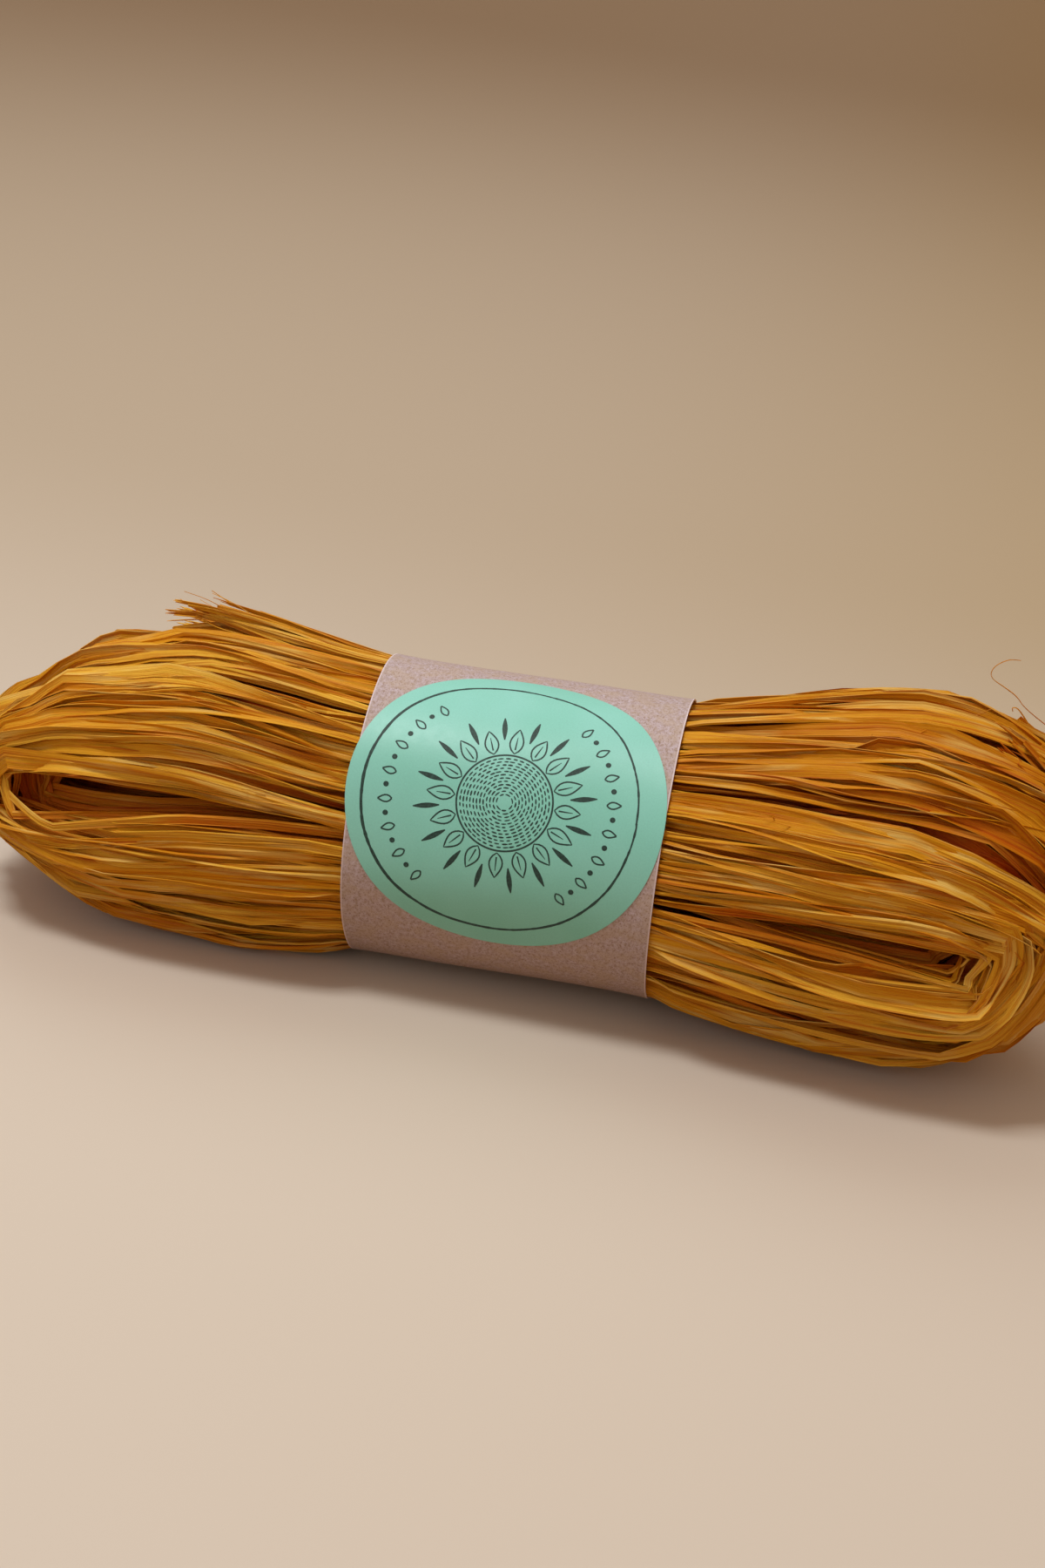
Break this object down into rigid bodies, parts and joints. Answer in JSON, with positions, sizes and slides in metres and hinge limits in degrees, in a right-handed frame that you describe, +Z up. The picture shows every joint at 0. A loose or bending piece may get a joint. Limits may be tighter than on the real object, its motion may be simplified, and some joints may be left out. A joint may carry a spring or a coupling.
{
  "type": "raffia bundle",
  "caption": "Hank of gold-dyed raffia leaf fibre wound in long flat loops, held at its waist by a paper belly band with a round sticker.",
  "frame": {"origin": "middle of the bounding box's base, on the surface the hank lies on", "axes": "+X along the hank to its blunter end, +Z up, -Y out of the side that the sticker faces"},
  "size_m": [0.2242, 0.0642, 0.0701],
  "materials": {
    "raffia": "dry dyed leaf fibre with a soft sheen along the strands",
    "kraft_paper": "matt recycled kraft paper, mottled mauve and tan",
    "label_paper": "satin coated sticker paper, mint green with dark ink"
  },
  "bodies": {
    "root": {"raffia_wisp_inner_1": "raffia", "raffia_wisp_inner_2": "raffia", "raffia_wisp_inner_3": "raffia", "raffia_wisp_inner_4": "raffia", "raffia_wisp_inner_5": "raffia", "raffia_wisp_inner_6": "raffia", "raffia_wisp_outer_1": "raffia", "raffia_wisp_outer_2": "raffia", "raffia_wisp_outer_3": "raffia", "raffia_wisp_outer_4": "raffia", "raffia_wisp_outer_5": "raffia", "raffia_wisp_outer_6": "raffia", "paper_band": "kraft_paper", "round_label": "label_paper"}
  },
  "joints": []
}
